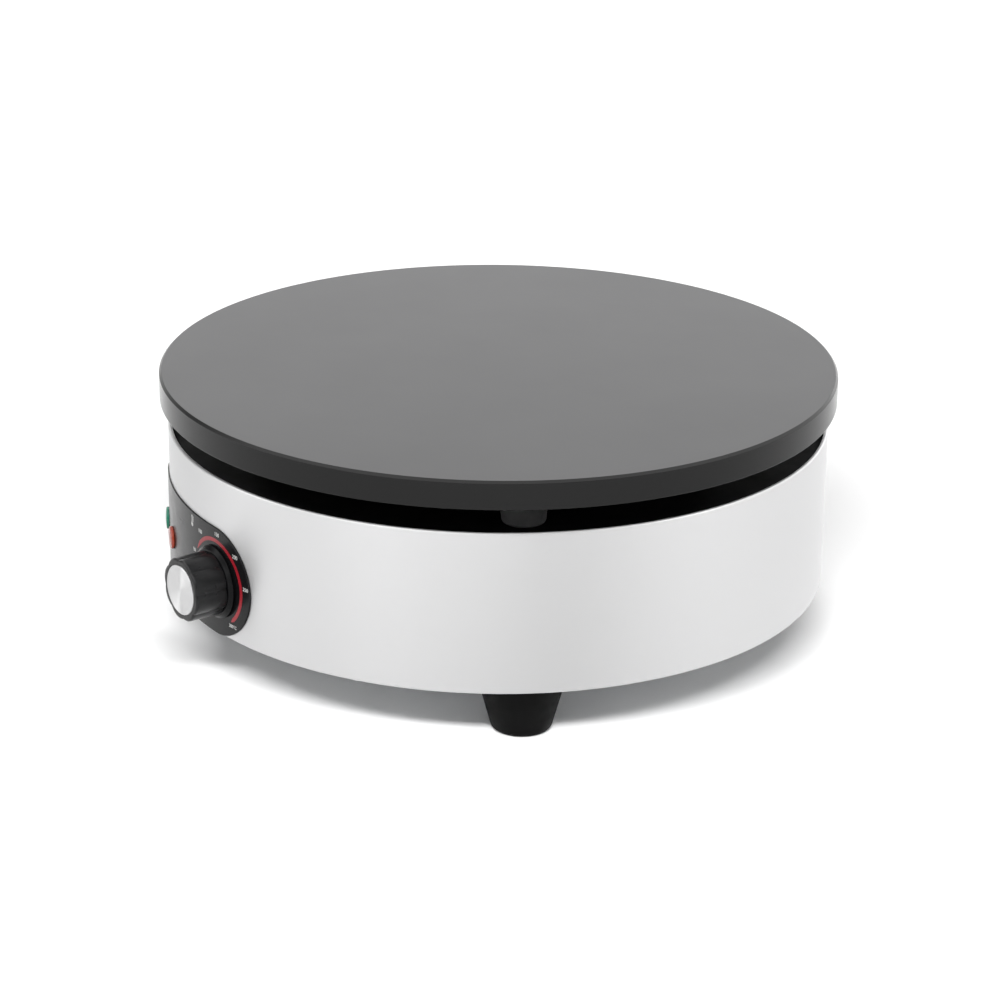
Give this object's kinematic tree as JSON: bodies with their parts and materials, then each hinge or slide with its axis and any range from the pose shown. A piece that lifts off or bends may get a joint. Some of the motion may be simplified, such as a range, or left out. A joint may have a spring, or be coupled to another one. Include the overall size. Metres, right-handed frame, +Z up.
{
  "type": "electric crepe maker",
  "caption": "Round countertop electric crepe maker: a cast-iron hotplate on posts above a stainless drum with thermostat knob, pilot lamps, rubber feet and a rear cable gland.",
  "frame": {"origin": "centre of the outer box at floor level, on the axis of the drum and the hotplate", "axes": "+Z up; the thermostat knob faces -Y and the cable gland faces +Y; +X is to the right of someone who faces the knob"},
  "size_m": [0.3999, 0.4397, 0.1665],
  "materials": {
    "cast_iron": "machined, seasoned cast iron, matt dark grey",
    "post_iron": "dark cast iron",
    "stainless": "satin stainless steel sheet",
    "zinc_steel": "bright zinc-plated steel",
    "element_sheath": "heat-tinted nickel alloy sheath",
    "black_enamel": "black heat-resistant enamel",
    "ceramic_fibre": "ceramic fibre board",
    "copper": "drawn copper",
    "foot_rubber": "black moulded rubber",
    "seal_rubber": "black nitrile rubber",
    "panel_black": "dark grey to black gloss film on a plastic panel",
    "knob_black": "semi-gloss black moulded phenolic",
    "cap_aluminium": "spun aluminium disc",
    "print_white": "white print",
    "print_red": "red print",
    "brass": "plain brass",
    "ceramic": "white steatite ceramic",
    "lens_green": "transparent green lens",
    "lens_orange": "transparent orange-red lens",
    "lamp_nylon": "natural nylon",
    "gland_nylon": "black nylon",
    "wire_brown": "brown insulation",
    "wire_blue": "blue insulation",
    "wire_green": "green and yellow insulation",
    "wire_white": "white glass-fibre sleeve",
    "wire_red": "red insulation"
  },
  "bodies": {
    "body": {"hotplate": "cast_iron", "plate_posts": "post_iron", "tie_rods": "zinc_steel", "rod_sleeves": "zinc_steel", "heating_element": "element_sheath", "element_clamp": "zinc_steel", "clamp_studs": "zinc_steel", "stud_washers": "zinc_steel", "stud_nuts": "zinc_steel", "insulation_disc": "ceramic_fibre", "heat_shield": "black_enamel", "sensor_bulb": "copper", "bulb_clip": "zinc_steel", "capillary_tube": "copper", "top_deck": "black_enamel", "body_shell": "stainless", "bottom_cover": "zinc_steel", "rivet_nuts": "zinc_steel", "cover_screws": "zinc_steel", "foot_right": "foot_rubber", "foot_rear": "foot_rubber", "foot_left": "foot_rubber", "foot_inserts": "zinc_steel", "control_panel": "panel_black", "thermostat_case": "ceramic", "thermostat_tabs": "brass", "thermostat_bush": "brass", "thermostat_bracket": "zinc_steel", "thermostat_screws": "zinc_steel", "bracket_screws": "zinc_steel", "thermal_cutout": "ceramic", "cutout_screws": "zinc_steel", "terminal_block": "ceramic", "terminal_screws": "brass", "earth_stud": "brass", "earth_lug": "zinc_steel", "earth_nut": "brass", "green_lens": "lens_green", "orange_lens": "lens_orange", "lamp_bodies": "lamp_nylon", "lamp_clips": "zinc_steel", "gland_body": "gland_nylon", "gland_seal": "seal_rubber", "gland_dome_nut": "gland_nylon", "gland_lock_nut": "gland_nylon", "live_wire": "wire_brown", "neutral_wire": "wire_blue", "earth_wire": "wire_green", "element_wires": "wire_white", "lamp_wires": "wire_red", "terminal_beads": "ceramic"},
    "knob": {"knob_shaft": "zinc_steel", "knob_insert": "brass", "knob_skirt": "knob_black", "knob_body": "knob_black", "knob_cap": "cap_aluminium", "knob_grub_screw": "zinc_steel", "knob_pointer": "print_white"}
  },
  "joints": [
    {"name": "knob_turn", "type": "hinge", "parent": "body", "child": "knob", "pos_m": [0, -0.2, 0.072], "axis": [0, 1, 0], "range_deg": [0, 262]}
  ]
}
